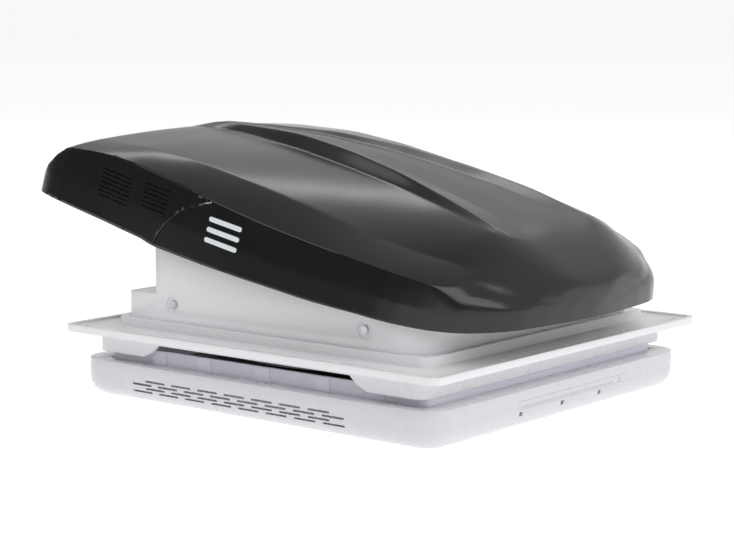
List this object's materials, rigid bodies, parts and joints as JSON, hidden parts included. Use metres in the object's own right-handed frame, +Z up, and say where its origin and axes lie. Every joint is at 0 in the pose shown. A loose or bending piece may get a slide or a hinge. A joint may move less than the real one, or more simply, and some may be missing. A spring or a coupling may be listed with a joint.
{
  "type": "roof vent cover",
  "caption": "Powered roof vent with a raised tapered black lid on a white flanged upstand, frosted light ring, slotted ceiling trim, fan and lid lift.",
  "frame": {"origin": "centre of the roof opening on the roof plane, which is the underside of the flange", "axes": "+X towards the low hinged nose of the lid, -X towards its raised rear, +Y across, +Z up out of the roof"},
  "size_m": [0.5662, 0.426, 0.2528],
  "materials": {
    "white_shell": "gloss",
    "white_collar": "gloss",
    "white_trim": "gloss",
    "frosted_ring": "satin",
    "led_strip": "satin",
    "lid_black": "satin gloss",
    "cowl_black": "gloss",
    "mark_white": "gloss",
    "inner_black": "satin",
    "seal_rubber": "matte",
    "fan_plastic": "satin",
    "guard_plastic": "satin",
    "motor_metal": "satin",
    "zinc_steel": "satin",
    "galvanised": "satin",
    "board_green": "satin",
    "button_grey": "satin",
    "screen_mesh": "woven",
    "screen_frame": "satin"
  },
  "bodies": {
    "base": {"roof_flange": "white_shell", "roof_collar": "white_collar", "upstand_shell": "white_shell", "upstand_screws": "zinc_steel", "upstand_seal": "seal_rubber", "fan_shroud": "white_shell", "shroud_screws": "zinc_steel", "motor_bracket": "guard_plastic", "fan_motor": "motor_metal", "finger_guard": "guard_plastic", "shaft_bearing_left": "inner_black", "shaft_bearing_right": "inner_black", "lift_gearbox": "inner_black", "lift_motor": "motor_metal", "hinge_bracket_left": "galvanised", "hinge_bracket_right": "galvanised", "hinge_pins": "zinc_steel", "spacer_ring": "frosted_ring", "led_strip": "led_strip", "ceiling_trim": "white_trim", "trim_screws": "zinc_steel", "side_service_cover": "white_trim", "control_board": "board_green", "power_connector": "inner_black", "screen_frame": "screen_frame", "insect_screen": "screen_mesh"},
    "lid": {"lid_shell": "lid_black", "lid_rear_cowl": "cowl_black", "lid_inner_frame": "inner_black", "lid_screws": "zinc_steel", "lid_rail_left": "inner_black", "lid_rail_right": "inner_black", "lid_hinge_arm_left": "galvanised", "lid_hinge_arm_right": "galvanised", "side_mark_left": "mark_white", "side_mark_right": "mark_white"},
    "fan": {"fan_rotor": "fan_plastic", "motor_shaft": "zinc_steel", "rotor_clip": "zinc_steel"},
    "lift_arms": {"cross_shaft": "zinc_steel", "lift_arm_left": "galvanised", "lift_arm_right": "galvanised", "lift_rollers": "inner_black"},
    "button_power": {"button_power": "button_grey"},
    "button_fan_up": {"button_fan_up": "button_grey"},
    "button_fan_down": {"button_fan_down": "button_grey"},
    "button_lid": {"button_lid": "button_grey"},
    "button_light": {"button_light": "button_grey"}
  },
  "joints": [
    {"name": "lid_hinge", "type": "hinge", "parent": "base", "child": "lid", "pos_m": [0.2, 0, 0.045], "axis": [0, 1, 0], "range_deg": [-10.5, 0]},
    {"name": "lift_arm_pivot", "type": "hinge", "parent": "base", "child": "lift_arms", "pos_m": [-0.11, 0, 0.046], "axis": [0, 1, 0], "range_deg": [0, 13.58]},
    {"name": "fan_spin", "type": "hinge", "parent": "base", "child": "fan", "pos_m": [0, 0, 0.012], "axis": [0, 0, 1], "continuous": true},
    {"name": "button_power_press", "type": "slide", "parent": "base", "child": "button_power", "axis": [0, 0, 1], "range_m": [0, 0.0008], "stiffness_N_per_m": 600},
    {"name": "button_fan_up_press", "type": "slide", "parent": "base", "child": "button_fan_up", "axis": [0, 0, 1], "range_m": [0, 0.0008], "stiffness_N_per_m": 600},
    {"name": "button_fan_down_press", "type": "slide", "parent": "base", "child": "button_fan_down", "axis": [0, 0, 1], "range_m": [0, 0.0008], "stiffness_N_per_m": 600},
    {"name": "button_lid_press", "type": "slide", "parent": "base", "child": "button_lid", "axis": [0, 0, 1], "range_m": [0, 0.0008], "stiffness_N_per_m": 600},
    {"name": "button_light_press", "type": "slide", "parent": "base", "child": "button_light", "axis": [0, 0, 1], "range_m": [0, 0.0008], "stiffness_N_per_m": 600}
  ],
  "couplings": [
    {"joint": "lift_arm_pivot", "follows": "lid_hinge", "ratio": -1.2931}
  ]
}
